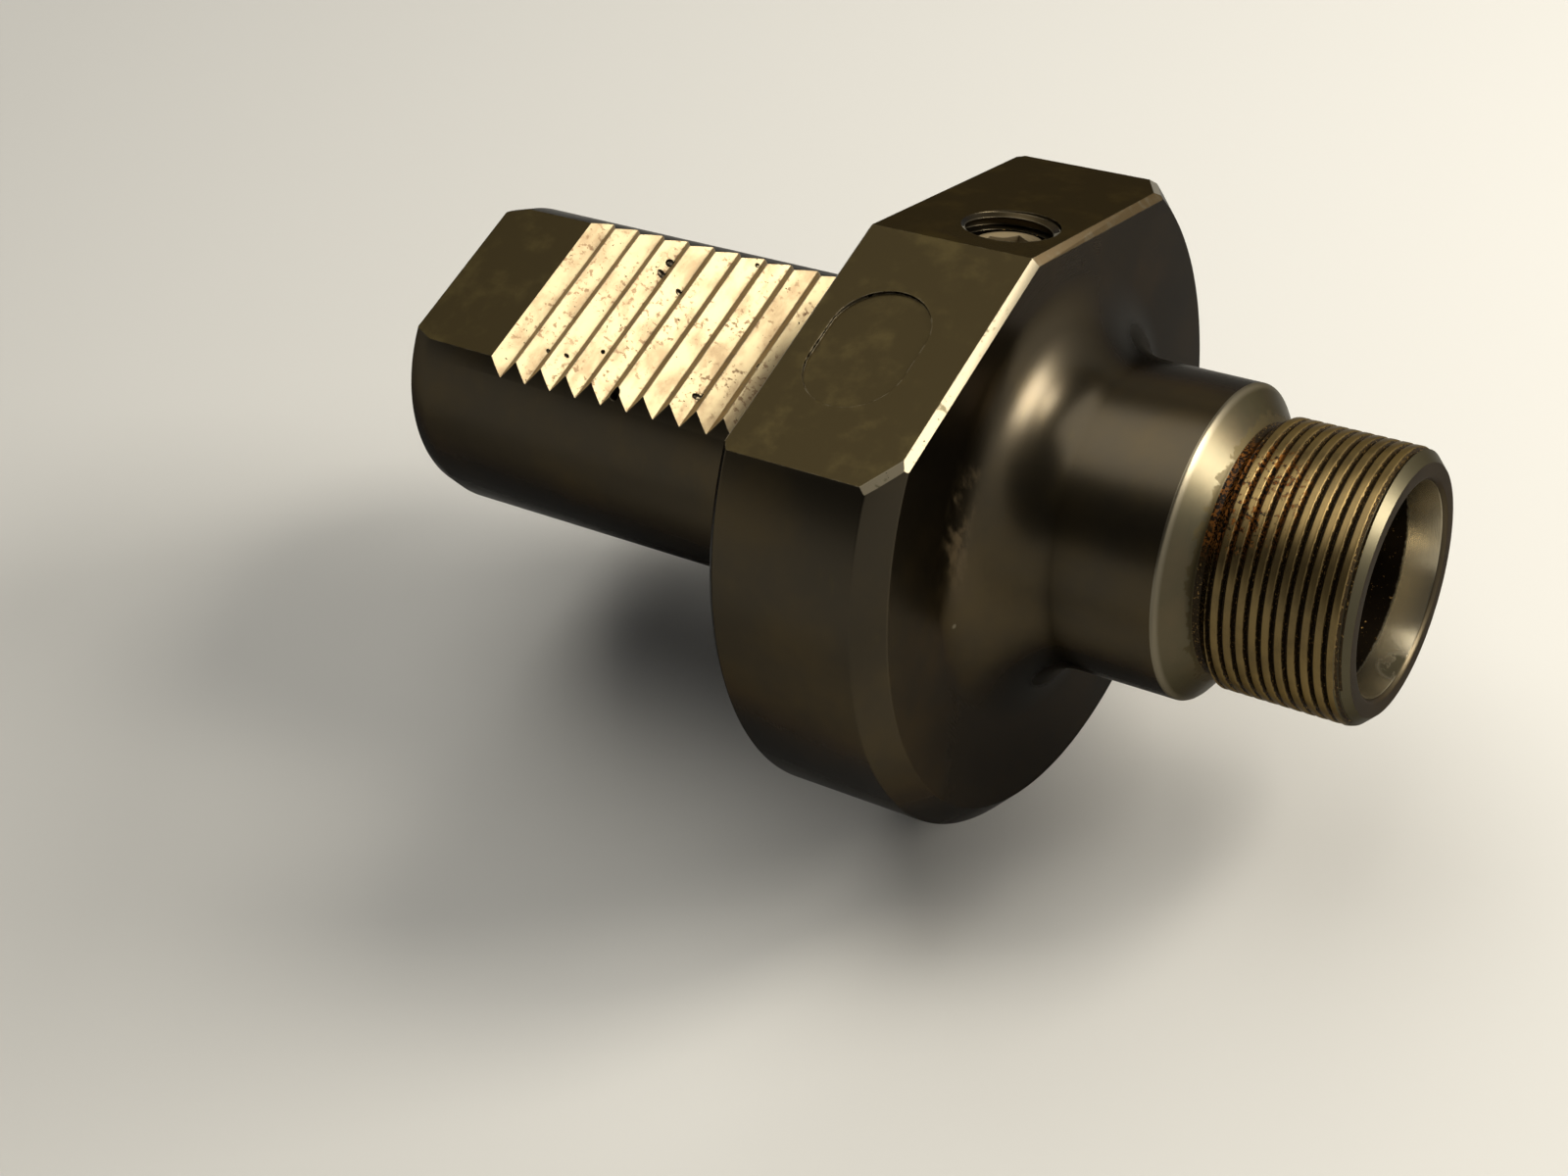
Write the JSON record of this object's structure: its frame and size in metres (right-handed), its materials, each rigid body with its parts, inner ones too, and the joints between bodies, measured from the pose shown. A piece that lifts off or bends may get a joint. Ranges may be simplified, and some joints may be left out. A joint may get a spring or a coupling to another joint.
{
  "type": "collet chuck holder",
  "caption": "Static tool holder with a serrated round shank, a flange with two flats and a threaded collet nose with a tapered seat.",
  "frame": {"origin": "where the tool axis crosses the rear contact face of the flange", "axes": "+X along the tool axis, out of the collet nose; +Z square to the toothed flat of the shank; +Y on the side that the flange's second flat leans to"},
  "size_m": [0.128, 0.083, 0.0735],
  "materials": {
    "blackened_steel": "hardened, black oxide finish, worn bright on the teeth and edges",
    "plug_steel": "black oxide",
    "screw_steel": "black oxide, lightly oiled",
    "seal_rubber": "smooth nitrile rubber"
  },
  "bodies": {
    "holder": {"holder_body": "blackened_steel", "side_plug": "plug_steel", "rear_plug": "plug_steel", "rear_plug_seal": "seal_rubber", "shank_seal": "seal_rubber"},
    "screw_carrier": {"stop_screw_seal": "seal_rubber"},
    "stop_screw": {"stop_screw": "screw_steel"}
  },
  "joints": [
    {"name": "stop_screw_advance", "type": "slide", "parent": "holder", "child": "screw_carrier", "axis": [1, 0, 0], "range_m": [-0.003, 0.003]},
    {"name": "stop_screw_turn", "type": "hinge", "parent": "screw_carrier", "child": "stop_screw", "pos_m": [0.0335, 0, 0], "axis": [1, 0, 0], "range_deg": [-720, 720]}
  ],
  "couplings": [
    {"joint": "stop_screw_turn", "follows": "stop_screw_advance", "rad_per_m": 4188.8}
  ]
}
